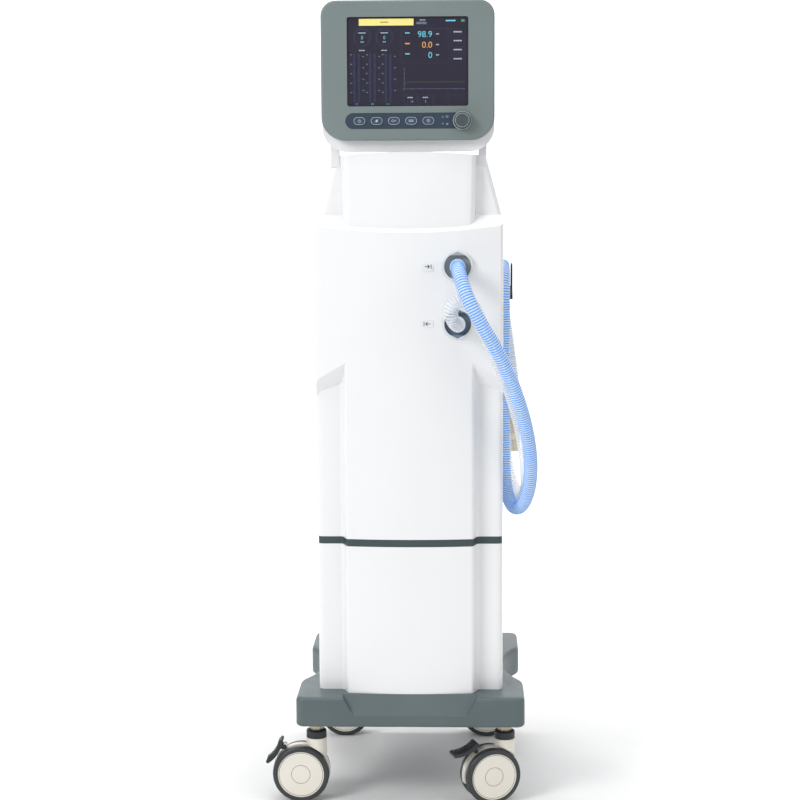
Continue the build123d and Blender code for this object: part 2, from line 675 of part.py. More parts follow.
def make_tilt_brackets():
    brackets = []
    for side in (-1, 1):
        lo, hi = sorted((side * 120, side * 134))
        arm = rod_x(TILT_Y, TILT_Z, lo, hi, 9)
        arm += block(lo, hi, TILT_Y - 9, TILT_Y + 9, 1120, TILT_Z)
        foot_lo, foot_hi = sorted((side * 112, side * 134))
        arm += block(foot_lo, foot_hi, TILT_Y - 9, TILT_Y + 9, 1118, 1121)
        arm -= rod_x(TILT_Y, TILT_Z, lo - 1, hi + 1, 3)
        brackets.append(arm)
    return brackets


def make_tilt_pins():
    pins = []
    for side in (-1, 1):
        lo, hi = sorted((side * 116, side * 139.5))
        pins.append(rod_x(TILT_Y, TILT_Z, lo, hi, 3))
    return pins


# ---- hook, hoses and wye ------------------------------------------------------------
def make_hose_hook():
    wall = CABINET_BACK_HALF
    hook = block(wall, wall + 3, SADDLE_Y - 15, SADDLE_Y + 15, SADDLE_Z - 30, SADDLE_Z + 14)
    saddle = rod_x(SADDLE_Y, SADDLE_Z, wall, wall + 32, SADDLE_RADIUS)
    saddle -= rod_x(SADDLE_Y, SADDLE_Z, wall + 3, wall + 28, SADDLE_RADIUS - 4)
    saddle -= block(wall - 5, wall + 40, SADDLE_Y - 40, SADDLE_Y + 40, SADDLE_Z - 40, SADDLE_Z)
    lip = block(wall + 28.5, wall + 32, SADDLE_Y - 9, SADDLE_Y + 9, SADDLE_Z + 8, 944)
    lip = fillet(lip.edges().filter_by(Axis.X).group_by(Axis.Z)[-1], 8.5)
    return hook + saddle + lip


def route_radii(points, label):
    """Arc at each corner: 0.45 of the shorter run over the tangent of half the turn."""
    radii = []
    for before, corner, after in zip(points, points[1:], points[2:]):
        run_in = Vector(*corner) - Vector(*before)
        run_out = Vector(*after) - Vector(*corner)
        turn = math.radians(run_in.get_angle(run_out))
        shorter = min(run_in.length, run_out.length)
        radii.append(0.45 * shorter / math.tan(turn / 2))
    print(label, "radii", [round(r) for r in radii])
    return radii


def make_hose(points, label):
    path = FilletPolyline(*points, radius=route_radii(points, label))
    start = Plane(origin=points[0], z_dir=Vector(*points[1]) - Vector(*points[0]))
    tube = sweep(start * Circle(HOSE_RADIUS), path=path)
    print(label, "length", round(path.length), "volume ratio",
          round(tube.volume / (math.pi * HOSE_RADIUS ** 2 * path.length), 4))
    return tube


def make_wye():
    """Parallel wye: two 22 mm arms on top, one 22 mm male, 15 mm female port below."""
    wye = None
    for y in WYE_ARM_Y:
        arm = rod_z(WYE_X, y, WYE_TOP - 28, WYE_TOP, 11)
        wye = arm if wye is None else wye + arm
    middle = sum(WYE_ARM_Y) / 2
    top = Pos(WYE_X, middle, WYE_TOP - 28) * SlotOverall(49, 22, rotation=90)
    bottom = Pos(WYE_X, middle, WYE_TOP - 44) * SlotOverall(24, 22, rotation=90)
    wye += loft([bottom, top])
    wye += rod_z(WYE_X, middle, WYE_TOP - 66, WYE_TOP - 43, 11)
    for y in WYE_ARM_Y:
        wye -= rod_z(WYE_X, y, WYE_TOP - 30, WYE_TOP + 1, 9)
    wye -= rod_z(WYE_X, middle, WYE_TOP - 67, WYE_TOP - 46, 7.5)
    return wye


# ---- insides ------------------------------------------------------------------------
def make_power_supply():
    supply = block(20, 118, -40, 120, 203, 290)
    for row in range(6):
        supply -= block(15, 22, -20 + row * 22, -10 + row * 22, 220, 270)
    return supply


def make_battery_pack():
    pack = block(-112, 10, -145, -15, 203, 300)
    pack += block(-64, -34, -135, -25, 299, 306)
    return pack


def make_control_board():
    board = block(-104, -102.4, -120, 60, 820, 980)
    for y, z in ((-80, 860), (-20, 940), (20, 870)):
        board += block(-102.6, -94, y - 16, y + 16, z - 16, z + 16)
    return board


def main():
    os.makedirs("parts", exist_ok=True)
    write("base_cover", make_base_cover())
    write("base_frame", make_base_frame())
    write_casters()
    write("lower_shell", make_lower_shell())
    write("trim_band", make_trim_band())
    write("upper_shell", make_upper_shell())
    write("head_shell", make_head_shell())
    write("rear_panel", make_rear_panel())
    write("panel_screws", *make_panel_screws())
    write("inner_frame", make_inner_frame())
    write("inhale_port", make_port(INHALE_Z))
    write("exhale_port", make_port(EXHALE_Z))
    write("port_labels", label_plate(INHALE_Z - 2.5, 0), label_plate(EXHALE_Z, 0))
    write("inspiratory_cuff", make_cuff(INHALE_Z))
    write("expiratory_cuff", make_cuff(EXHALE_Z))
    write("gas_mixer", make_gas_mixer())
    write("oxygen_inlet", make_gas_inlet(-60, 7.14))
    write("second_gas_inlet", make_gas_inlet(0, 9.525))
    write("mains_inlet", make_mains_inlet())
    write("monitor_housing", make_monitor_housing())
    write("monitor_bezel", make_monitor_bezel())
    write("keypad_strip", make_keypad_strip())
    for index, name in enumerate(KEY_NAMES):
        write(name, make_key(index))
    write("screen_glass", make_screen_glass())
    write("display_panel", make_display_panel())
    write("monitor_board", make_monitor_board())
    write("encoder_shaft", make_encoder_shaft())
    write("control_knob", make_control_knob())
    write("tilt_brackets", *make_tilt_brackets())
    write("tilt_pins", *make_tilt_pins())
    write("hose_hook", make_hose_hook())
    write("inspiratory_hose", make_hose(INSPIRATORY_ROUTE, "inspiratory hose"))
    write("expiratory_hose", make_hose(EXPIRATORY_ROUTE, "expiratory hose"))
    write("wye_piece", make_wye())
    write("power_supply", make_power_supply())
    write("battery_pack", make_battery_pack())
    write("control_board", make_control_board())


main()
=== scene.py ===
import json
import math

import bpy
from mathutils import Matrix, Vector


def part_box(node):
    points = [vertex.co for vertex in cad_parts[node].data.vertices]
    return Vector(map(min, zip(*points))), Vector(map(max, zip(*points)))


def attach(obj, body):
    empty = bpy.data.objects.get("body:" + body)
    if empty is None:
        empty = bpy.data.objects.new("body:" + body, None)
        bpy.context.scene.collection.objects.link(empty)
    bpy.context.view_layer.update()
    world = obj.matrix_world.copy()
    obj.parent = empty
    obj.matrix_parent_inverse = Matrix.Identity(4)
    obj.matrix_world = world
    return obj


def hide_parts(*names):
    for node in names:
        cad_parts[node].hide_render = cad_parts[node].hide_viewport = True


# A hospital ventilator on its wheeled trolley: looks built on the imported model, in metres.

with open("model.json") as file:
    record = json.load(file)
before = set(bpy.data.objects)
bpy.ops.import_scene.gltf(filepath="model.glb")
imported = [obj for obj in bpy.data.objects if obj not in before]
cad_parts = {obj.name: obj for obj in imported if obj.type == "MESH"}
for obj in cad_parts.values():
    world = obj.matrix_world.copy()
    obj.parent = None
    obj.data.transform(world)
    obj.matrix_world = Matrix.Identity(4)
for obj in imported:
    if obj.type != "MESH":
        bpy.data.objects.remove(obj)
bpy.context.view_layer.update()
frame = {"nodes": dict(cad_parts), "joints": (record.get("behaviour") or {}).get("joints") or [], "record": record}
nodes = frame["nodes"]
MM = 0.001


# ---- materials --------------------------------------------------------------------
def plain_material(name):
    mat = bpy.data.materials.new(name)
    mat.use_nodes = True
    tree = mat.node_tree
    return mat, tree, tree.nodes["Principled BSDF"]


def moulded(name, colour, roughness, tone=0.04, tone_scale=9.0, grain=0.04, grain_scale=900.0,
            metallic=0.0, coat=0.0, spread=0.08, alpha=1.0):
    """Plastic, paint or metal: slow tone changes, uneven gloss and a fine surface grain."""
    mat, tree, shader = plain_material(name)
    add, link = tree.nodes.new, tree.links.new
    place = add("ShaderNodeTexCoord")
    slow = add("ShaderNodeTexNoise")
    slow.inputs["Scale"].default_value = tone_scale
    slow.inputs["Detail"].default_value = 3.0
    link(place.outputs["Object"], slow.inputs["Vector"])
    ramp = add("ShaderNodeValToRGB")
    ramp.color_ramp.elements[0].position = 0.3
    ramp.color_ramp.elements[1].position = 0.7
    ramp.color_ramp.elements[0].color = [c * (1 - tone) for c in colour] + [1]
    ramp.color_ramp.elements[1].color = [min(1, c * (1 + tone)) for c in colour] + [1]
    link(slow.outputs["Fac"], ramp.inputs["Fac"])
    link(ramp.outputs["Color"], shader.inputs["Base Color"])
    smear = add("ShaderNodeTexNoise")
    smear.inputs["Scale"].default_value = tone_scale * 4
    smear.inputs["Detail"].default_value = 5.0
    link(place.outputs["Object"], smear.inputs["Vector"])
    gloss = add("ShaderNodeMapRange")
    gloss.inputs["From Min"].default_value = 0.3
    gloss.inputs["From Max"].default_value = 0.7
    gloss.inputs["To Min"].default_value = max(0.02, roughness - spread / 2)
    gloss.inputs["To Max"].default_value = min(1.0, roughness + spread / 2)
    link(smear.outputs["Fac"], gloss.inputs["Value"])
    link(gloss.outputs["Result"], shader.inputs["Roughness"])
    fine = add("ShaderNodeTexNoise")
    fine.inputs["Scale"].default_value = grain_scale
    fine.inputs["Detail"].default_value = 2.0
    link(place.outputs["Object"], fine.inputs["Vector"])
    bump = add("ShaderNodeBump")
    bump.inputs["Strength"].default_value = grain
    bump.inputs["Distance"].default_value = 0.0004
    link(fine.outputs["Fac"], bump.inputs["Height"])
    link(bump.outputs["Normal"], shader.inputs["Normal"])
    shader.inputs["Metallic"].default_value = metallic
    shader.inputs["Coat Weight"].default_value = coat
    shader.inputs["Coat Roughness"].default_value = 0.12
    shader.inputs["Alpha"].default_value = alpha
    return mat


def brushed(name, colour, roughness, along=(1.0, 40.0, 40.0)):
    """Metal with fine streaks drawn out along one direction."""
    mat = moulded(name, colour, roughness, tone=0.06, metallic=1.0, grain=0.0)
    tree = mat.node_tree
    add, link = tree.nodes.new, tree.links.new
    place = add("ShaderNodeTexCoord")
    stretch = add("ShaderNodeMapping")
    stretch.inputs["Scale"].default_value = along
    streak = add("ShaderNodeTexNoise")
    streak.inputs["Scale"].default_value = 30.0
    link(place.outputs["Object"], stretch.inputs["Vector"])
    link(stretch.outputs["Vector"], streak.inputs["Vector"])
    bump = tree.nodes["Bump"]
    bump.inputs["Strength"].default_value = 0.12
    link(streak.outputs["Fac"], bump.inputs["Height"])
    return mat


def lit(name, colour, strength, tone=0.06):
    """A lit patch of the display, a little uneven like a real backlight."""
    mat, tree, shader = plain_material(name)
    add, link = tree.nodes.new, tree.links.new
    place = add("ShaderNodeTexCoord")
    slow = add("ShaderNodeTexNoise")
    slow.inputs["Scale"].default_value = 40.0
    link(place.outputs["Object"], slow.inputs["Vector"])
    ramp = add("ShaderNodeValToRGB")
    ramp.color_ramp.elements[0].color = [c * (1 - tone) for c in colour] + [1]
    ramp.color_ramp.elements[1].color = [min(1, c * (1 + tone)) for c in colour] + [1]
    link(slow.outputs["Fac"], ramp.inputs["Fac"])
    link(ramp.outputs["Color"], shader.inputs["Base Color"])
    link(ramp.outputs["Color"], shader.inputs["Emission Color"])
    shader.inputs["Emission Strength"].default_value = strength
    shader.inputs["Roughness"].default_value = 0.35
    return mat


WHITE = moulded("white_shell", (0.86, 0.865, 0.87), 0.22, tone=0.012, tone_scale=3.0,
                grain=0.03, grain_scale=500.0, coat=0.5)
WHITE_SHEET = moulded("white_sheet", (0.80, 0.81, 0.82), 0.42, tone=0.02, grain=0.12,
                      grain_scale=1200.0)
BASE_GREY = moulded("base_plastic", (0.093, 0.124, 0.131), 0.44, tone=0.06, grain=0.25,
                    grain_scale=1500.0)
BEZEL_GREY = moulded("bezel_grey", (0.174, 0.216, 0.212), 0.44, tone=0.04, grain=0.22,
                     grain_scale=1600.0)
BAND_GREY = moulded("trim", (0.042, 0.066, 0.072), 0.42, tone=0.06, grain=0.15, grain_scale=1200.0)
NAVY = moulded("strip_navy", (0.026, 0.046, 0.074), 0.4, tone=0.06, grain=0.10, grain_scale=1400.0)
KEY_NAVY = moulded("key_navy", (0.036, 0.060, 0.094), 0.38, tone=0.06, grain=0.10, grain_scale=1400.0)
KNOB_GREY = moulded("knob_grey", (0.060, 0.080, 0.088), 0.38, tone=0.06, grain=0.12, grain_scale=1400.0)
DARK = moulded("dark_plastic", (0.022, 0.026, 0.029), 0.46, tone=0.10, grain=0.25, grain_scale=1300.0)
BLACK = moulded("black_plastic", (0.008, 0.008, 0.009), 0.45, tone=0.15, grain=0.20, grain_scale=1300.0)
CREAM = moulded("caster_cream", (0.80, 0.765, 0.68), 0.34, tone=0.025, grain=0.10, grain_scale=900.0,
                coat=0.2)
TYRE = moulded("wheel_tread", (0.034, 0.038, 0.042), 0.38, tone=0.14, tone_scale=30.0, grain=0.30,
               grain_scale=1100.0, spread=0.16)
STEEL = brushed("steel", (0.60, 0.61, 0.62), 0.30)
ALUMINIUM = brushed("mixer_metal", (0.66, 0.67, 0.68), 0.36, along=(40.0, 1.0, 40.0))
BRASS = brushed("brass", (0.72, 0.55, 0.26), 0.26, along=(40.0, 2.0, 40.0))
FRAME_PAINT = moulded("frame_paint", (0.30, 0.32, 0.33), 0.5, tone=0.05, grain=0.3, grain_scale=1000.0)
PORT_GREY = moulded("port_grey", (0.36, 0.385, 0.40), 0.34, tone=0.05, grain=0.08, coat=0.2)
LABEL = moulded("label", (0.78, 0.80, 0.81), 0.4, tone=0.02, grain=0.05)
BOARD = moulded("circuit_board", (0.01, 0.11, 0.04), 0.4, tone=0.25, tone_scale=90.0, grain=0.3,
                grain_scale=700.0)
BLUE_HOSE = moulded("blue_hose", (0.12, 0.35, 0.88), 0.28, tone=0.04, grain=0.06, coat=0.25)
BLUE_VALLEY = moulded("blue_hose_valley", (0.66, 0.80, 0.97), 0.34, tone=0.04, grain=0.06)
BLUE_CUFF = moulded("blue_cuff", (0.46, 0.66, 0.95), 0.26, tone=0.03, grain=0.05, coat=0.3)
CLEAR_HOSE = moulded("clear_hose", (0.90, 0.93, 0.96), 0.22, tone=0.03, grain=0.06, coat=0.3, alpha=0.68)
CLEAR_VALLEY = moulded("clear_hose_valley", (0.80, 0.86, 0.92), 0.26, tone=0.03, grain=0.06, alpha=0.42)
CLEAR_CUFF = moulded("clear_cuff", (0.86, 0.89, 0.92), 0.22, tone=0.03, grain=0.05, coat=0.3, alpha=0.85)
# A pale sheen on the hoses gives them the milky edges of thin plastic.
for hose_mat in (BLUE_HOSE, BLUE_VALLEY, CLEAR_HOSE, CLEAR_VALLEY):
    hose_shader = hose_mat.node_tree.nodes["Principled BSDF"]
    hose_shader.inputs["Sheen Weight"].default_value = 0.7
    hose_shader.inputs["Sheen Roughness"].default_value = 0.3
STEM = brushed("stem_zinc", (0.46, 0.41, 0.31), 0.38, along=(40.0, 40.0, 2.0))
# Bright rim colour for the ports and the knob's flange ring, also used for a painted highlight on the knob's cap.
RIM_AND_HIGHLIGHT = moulded("port_rim_and_highlight", (0.68, 0.71, 0.72), 0.22, tone=0.04, grain=0.05, coat=0.4)
PORT_SLATE = moulded("port_slate", (0.13, 0.20, 0.28), 0.34, tone=0.05, grain=0.08, coat=0.2)
# Painted shade for the narrow grooves in each wheel's cream hub.
GROOVE_SHADE = moulded("hub_groove_shade", (0.10, 0.095, 0.085), 0.6, tone=0.1, grain=0.1)
WYE_PLASTIC = moulded("wye_plastic", (0.80, 0.74, 0.60), 0.25, tone=0.03, grain=0.05, coat=0.3, alpha=0.78)
PRINT = moulded("dark_print", (0.05, 0.06, 0.07), 0.5, tone=0.08, grain=0.05)
DISPLAY = lit("display", (0.020, 0.017, 0.034), 0.35)
GLASS = moulded("screen_glass", (0.01, 0.01, 0.015), 0.08, tone=0.1, grain=0.0, alpha=0.10, spread=0.03)

by_slot = {
    "base_plastic": BASE_GREY, "steel": STEEL, "frame_paint": FRAME_PAINT, "dark_plastic": DARK,
    "caster_cream": CREAM, "wheel_tread": TYRE, "white_shell": WHITE, "trim": BAND_GREY,
    "white_sheet": WHITE_SHEET, "port_grey": PORT_GREY, "label": LABEL, "blue_hose": BLUE_HOSE,
    "clear_hose": CLEAR_HOSE, "wye_plastic": WYE_PLASTIC, "mixer_metal": ALUMINIUM, "brass": BRASS,
    "black_plastic": BLACK, "supply_case": ALUMINIUM, "circuit_board": BOARD,
    "bezel_grey": BEZEL_GREY, "strip_navy": NAVY, "key_navy": KEY_NAVY, "screen_glass": GLASS,
    "display": DISPLAY, "knob_grey": KNOB_GREY,
}
for entry in frame["record"]["subparts"]:
    mesh = nodes[entry["node"]].data
    mesh.materials.clear()
    mesh.materials.append(by_slot[entry["material_slot"]])

# Cream hub inside the dark tread of each wheel, with painted shade as a dark line in each of its two grooves.
HUB_RADIUS = 41.3
GROOVES = ((16.15, 16.95), (38.45, 39.25))
for joint in frame["joints"]:
    if not joint["name"].endswith("_wheel"):
        continue
    mesh = nodes[joint["child"]].data
    mesh.materials.append(CREAM)
    mesh.materials.append(GROOVE_SHADE)
    centre, axle = Vector(joint["pos_m"]), Vector(joint["axis"]).normalized()
    for face in mesh.polygons:
        out = face.center - centre
        reach = (out - axle * out.dot(axle)).length / MM
        if any(inner < reach < outer for inner, outer in GROOVES):
            face.material_index = 2
        elif reach < HUB_RADIUS:
            face.material_index = 1

# Bright rim round each port.
PORT_X = 84
INHALE_Z, EXHALE_Z = 948, 850
RIM_INNER = 23.4
for port, z in (("inhale_port", INHALE_Z), ("exhale_port", EXHALE_Z)):
    mesh = nodes[port].data
    mesh.materials.append(RIM_AND_HIGHLIGHT)
    for face in mesh.polygons:
        across, up = face.center.x / MM - PORT_X, face.center.z / MM - z
        if math.hypot(across, up) > RIM_INNER:
            face.material_index = 1

# Pieces whose finish differs from the rest of their slot.
nodes["exhale_port"].data.materials[0] = PORT_SLATE
nodes["caster_stems"].data.materials[0] = STEM
nodes["inspiratory_cuff"].data.materials[0] = BLUE_CUFF
nodes["expiratory_cuff"].data.materials[0] = CLEAR_CUFF


# ---- mesh helpers -------------------------------------------------------------------
def mesh_object(name, points, faces, mat, body, smooth=False):
    mesh = bpy.data.meshes.new(name)
    mesh.from_pydata(points, [], faces)
    mesh.update()
    mesh.materials.append(mat)
    if smooth:
        mesh.shade_smooth()
    obj = bpy.data.objects.new(name, mesh)
    bpy.context.scene.collection.objects.link(obj)
    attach(obj, body)
    return obj


def plates(name, outlines, front, thick, mat, body):
    """Flat shapes in the XZ plane (millimetres), from Y = front back to front + thick."""
    points, faces = [], []
    for outline in outlines:
        first, count = len(points), len(outline)
        points += [Vector((x, front, z)) * MM for x, z in outline]
        points += [Vector((x, front + thick, z)) * MM for x, z in outline]
        faces.append(tuple(range(first, first + count)))
        faces.append(tuple(range(first + 2 * count - 1, first + count - 1, -1)))
        for i in range(count):
            j = (i + 1) % count
            faces.append((first + j, first + i, first + count + i, first + count + j))
    return mesh_object(name, points, faces, mat, body)


def line(x0, z0, x1, z1, width):
    along = Vector((x1 - x0, z1 - z0)).normalized() * (width / 2)
    side = Vector((-along.y, along.x))
    a, b = Vector((x0, z0)) - along, Vector((x1, z1)) + along
    return [tuple(p) for p in (a - side, b - side, b + side, a + side)]


def box_2d(x0, x1, z0, z1):
    return [(x0, z0), (x1, z0), (x1, z1), (x0, z1)]


def frame_2d(x0, x1, z0, z1, width):
    half = width / 2
    return [
        line(x0 + half, z0, x1 - half, z0, width), line(x0 + half, z1, x1 - half, z1, width),
        line(x0, z0 + width, x0, z1 - width, width), line(x1, z0 + width, x1, z1 - width, width),
    ]


def arc(x, z, radius, width, start, end, steps=24):
    """Ring or part of one, as a row of quads. Angles in degrees from +X towards +Z."""
    quads = []
    for i in range(steps):
        quad = []
        for r, k in ((radius - width / 2, i), (radius + width / 2, i),
                     (radius + width / 2, i + 1), (radius - width / 2, i + 1)):
            a = math.radians(start + (end - start) * k / steps)
            quad.append((x + r * math.cos(a), z + r * math.sin(a)))
        quads.append(quad)
    return quads


def disc(x, z, radius, steps=24):
    turn = [2 * math.pi * i / steps for i in range(steps)]
    return [(x + radius * math.cos(a), z + radius * math.sin(a)) for a in turn]


def stadium_ring(x, z, length, height, width):
    end, half = length / 2 - height / 2, height / 2
    return (arc(x + end, z, half, width, -90, 90, 12) + arc(x - end, z, half, width, 90, 270, 12)
            + [line(x - end, z + half, x + end, z + half, width),
               line(x - end, z - half, x + end, z - half, width)])


def number(name, text, x, z, height, front, mat, body, right=False):
    """Digits as thin raised letters; x is their left edge, or their right edge."""
    curve = bpy.data.curves.new(name, "FONT")
    curve.body = text
    curve.size = height * MM / 0.7
    curve.extrude = 0.00003
    curve.offset = -0.012 * curve.size
    curve.align_x = "RIGHT" if right else "LEFT"
    holder = bpy.data.objects.new(name + "_curve", curve)
    bpy.context.scene.collection.objects.link(holder)
    bpy.context.view_layer.update()
    mesh = bpy.data.meshes.new_from_object(holder.evaluated_get(bpy.context.evaluated_depsgraph_get()))
    bpy.data.objects.remove(holder)
    mesh.transform(Matrix.Translation(Vector((x, front, z)) * MM) @ Matrix.Rotation(math.pi / 2, 4, "X"))
    mesh.materials.clear()
    mesh.materials.append(mat)
    mesh.name = name
    obj = bpy.data.objects.new(name, mesh)
    bpy.context.scene.collection.objects.link(obj)
    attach(obj, body)
    return obj


# ---- camera ---------------------------------------------------------------------------
camera = bpy.data.objects.new("camera", bpy.data.cameras.new("camera"))
bpy.context.scene.collection.objects.link(camera)
camera.data.lens = 81.86
camera.data.sensor_width = 36
camera.data.clip_end = 60
pitch, yaw, roll = math.radians(6.67), math.radians(-1.92), math.radians(-0.29)
ahead = Vector((math.sin(yaw) * math.cos(pitch), math.cos(yaw) * math.cos(pitch), -math.sin(pitch)))
level = ahead.cross(Vector((0, 0, 1))).normalized()
upward = level.cross(ahead)
right_axis = level * math.cos(roll) + upward * math.sin(roll)
up_axis = upward * math.cos(roll) - level * math.sin(roll)
turned = Matrix((right_axis, up_axis, -ahead)).transposed()
camera.matrix_world = Matrix.Translation((0.0887, -3.3241, 1.0828)) @ turned.to_4x4()
bpy.context.scene.camera = camera


# ---- hoses --------------------------------------------------------------------------
INSPIRATORY_ROUTE = [
    (84, -234, 948), (84, -264, 948), (89, -293, 930), (102, -309, 896),
    (123, -310, 857), (149, -301, 814), (172, -284, 765), (191, -263, 712),
    (204, -240, 660), (211, -214, 606), (208, -184, 556), (198, -143, 521),
    (184, -100, 508), (172, -66, 528), (167.5, -48, 582), (167, -40, 650),
    (166.5, -44, 755), (167, -39, 848), (166.5, -40.5, 904), (166.5, -5, 939.5),
    (166.5, 45, 939.5), (166.5, 80.5, 904), (169, 82, 850), (177, 85, 785),
    (186, 84, 720), (189, 85, 682), (189, 85, 655),
]
EXPIRATORY_ROUTE = [
    (84, -234, 850), (84, -253, 850), (78, -268, 856), (72, -277, 869),
    (75, -280, 885), (88, -281, 895), (103, -279, 892), (113, -277, 880),
    (121, -275, 859), (136, -271, 825), (153, -263, 787),
    (171, -249, 745), (184, -232, 706), (195, -210, 661), (202, -186, 615),
    (206, -150, 572), (207, -106, 540), (201, -60, 519), (185, -24, 531),
    (173, -9, 576), (167.5, -11, 645), (166.5, -18, 755), (167, -14, 840),
    (166.5, -16, 894), (166.5, 5, 915), (166.5, 35, 915), (166.5, 56, 894),
    (170, 57, 845), (180, 58.5, 780), (187, 58, 720), (189, 58, 682), (189, 58, 655),
]
HOSE_RADIUS = 12.0
HOSE_PITCH = 4.4
HOSE_DEPTH = 1.5
RIB_SHARPNESS = 1.4
VALLEY_FROM = 0.55
END_CUFF = 9.0
CUFF_WAVE = 0.25


def spline_points(name, route):
    """Points along the smooth line that the hose follows."""
    curve = bpy.data.curves.new(name, "CURVE")
    curve.dimensions = "3D"
    spline = curve.splines.new("NURBS")
    spline.points.add(len(route) - 1)
    for point, place in zip(spline.points, route):
        point.co = [v * MM for v in place] + [1]
    spline.order_u = 3
    spline.use_endpoint_u = True
    curve.resolution_u = 24
    holder = bpy.data.objects.new(name, curve)
    bpy.context.scene.collection.objects.link(holder)
    bpy.context.view_layer.update()
    mesh = bpy.data.meshes.new_from_object(holder.evaluated_get(bpy.context.evaluated_depsgraph_get()))
    points = []
    for vertex in mesh.vertices:
        if not points or (vertex.co - points[-1]).length > 0.0003:
            points.append(vertex.co.copy())
    bpy.data.objects.remove(holder)
    bpy.data.meshes.remove(mesh)
    return points


def corrugated(name, node, route, mat, valley, around=28, per_wave=8):
    """Hose with rounded ribs, paler between them, and a smooth end at each cuff."""
    path = spline_points(name + "_line", route)
    travel = [0.0]
    for a, b in zip(path, path[1:]):
        travel.append(travel[-1] + (b - a).length)
    total = travel[-1]
    rings = int(total / (HOSE_PITCH * MM) * per_wave)
    points, faces, waves = [], [], []
    tangent = (path[1] - path[0]).normalized()
    side = tangent.orthogonal().normalized()
    leg = 0
    for k in range(rings + 1):
        at = total * k / rings
        while leg < len(path) - 2 and travel[leg + 1] < at:
            leg += 1
        share = (at - travel[leg]) / max(1e-9, travel[leg + 1] - travel[leg])
        centre = path[leg].lerp(path[leg + 1], share)
        before = path[max(0, leg - 1)]
        after = path[min(len(path) - 1, leg + 2)]
        heading = ((path[leg] - before) * (1 - share) + (after - path[leg + 1]) * share
                   + (path[leg + 1] - path[leg])).normalized()
        side = (side - heading * side.dot(heading)).normalized()
        other = heading.cross(side)
        wave = 0.5 + 0.5 * math.cos(2 * math.pi * at / (HOSE_PITCH * MM))
        near_end = min(at, total - at) / MM
        if near_end < END_CUFF:
            wave = CUFF_WAVE
        waves.append(wave)
        radius = (HOSE_RADIUS - HOSE_DEPTH * wave ** RIB_SHARPNESS) * MM
        for i in range(around):
            angle = 2 * math.pi * i / around
            points.append(centre + (side * math.cos(angle) + other * math.sin(angle)) * radius)
    for k in range(rings):
        for i in range(around):
            j = (i + 1) % around
            faces.append((k * around + i, k * around + j, (k + 1) * around + j, (k + 1) * around + i))
    faces.append(tuple(range(around - 1, -1, -1)))
    faces.append(tuple(range(rings * around, (rings + 1) * around)))
    hose = mesh_object(name, points, faces, mat, "trolley", smooth=True)
    hose.data.materials.append(valley)
    for k in range(rings):
        if waves[k] + waves[k + 1] > 2 * VALLEY_FROM:
            for face in hose.data.polygons[k * around:(k + 1) * around]:
                face.material_index = 1
    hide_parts(node)
    return hose


corrugated("inspiratory_tube", "inspiratory_hose", INSPIRATORY_ROUTE, BLUE_HOSE, BLUE_VALLEY)
corrugated("expiratory_tube", "expiratory_hose", EXPIRATORY_ROUTE, CLEAR_HOSE, CLEAR_VALLEY)


# ---- display picture -----------------------------------------------------------------
SCREEN_LEFT, SCREEN_TOP = -102.5, 1368.0
LIT_FRONT = -209.36
LIT_THICK = 0.12
CYAN = lit("lit_cyan", (0.14, 0.56, 0.70), 0.8)
YELLOW = lit("lit_yellow", (0.72, 0.63, 0.20), 0.8)
ORANGE = lit("lit_orange", (0.78, 0.38, 0.10), 0.8)
GREEN = lit("lit_green", (0.10, 0.42, 0.20), 0.6)
PALE = lit("lit_pale", (0.36, 0.43, 0.52), 0.6)
DIM = lit("lit_dim", (0.040, 0.050, 0.100), 0.4)
AXIS = lit("lit_axis", (0.14, 0.19, 0.30), 0.5)
TRACE = lit("lit_trace", (0.14, 0.13, 0.08), 0.4)
BAR_BLUE = lit("lit_bar_blue", (0.028, 0.036, 0.090), 0.35)
VALUE_BLUE = lit("lit_value_blue", (0.08, 0.25, 0.75), 0.9)
INK = lit("lit_ink", (0.10, 0.09, 0.02), 0.1)


def on_screen(u0, u1, v0, v1):
    """Rectangle from distances to the left and top edges of the screen."""
    return box_2d(SCREEN_LEFT + u0, SCREEN_LEFT + u1, SCREEN_TOP - v1, SCREEN_TOP - v0)


def outline_on_screen(u0, u1, v0, v1, width=0.4):
    return frame_2d(SCREEN_LEFT + u0, SCREEN_LEFT + u1, SCREEN_TOP - v1, SCREEN_TOP - v0, width)


def dashes(u, v, lengths, height=1.5, gap=0.5):
    """Small blocks that stand for a caption, with no lettering."""
    blocks = []
    for length in lengths:
        blocks.append(on_screen(u, u + length, v - height / 2, v + height / 2))
        u += length + gap
    return blocks


def screen_plates(name, outlines, mat, lift=0.0):
    plates(name, outlines, LIT_FRONT - lift, LIT_THICK, mat, "monitor")


def screen_number(name, text, u, v, height, mat, right=False):
    number(name, text, SCREEN_LEFT + u, SCREEN_TOP - v - height / 2, height, LIT_FRONT,
           mat, "monitor", right)


GAUGES = (25.8, 63.4)
GAUGE_V = 33.3
COLUMNS = (12.3, 39.0, 65.6)
COLUMN_TOP, COLUMN_END = 60.8, 142
READINGS = (("level", "98.9", 29.0, CYAN), ("flow", "0.0", 46.6, ORANGE), ("rate", "0", 63.7, CYAN))
SIDE_BUTTONS = ((21, 30.4), (35.7, 45), (50.4, 60.2), (65.3, 75.4))
LOWER_BOXES = ((94.7, 118.7), (120.6, 144.4), (146.4, 169.4), (171.8, 195.2))

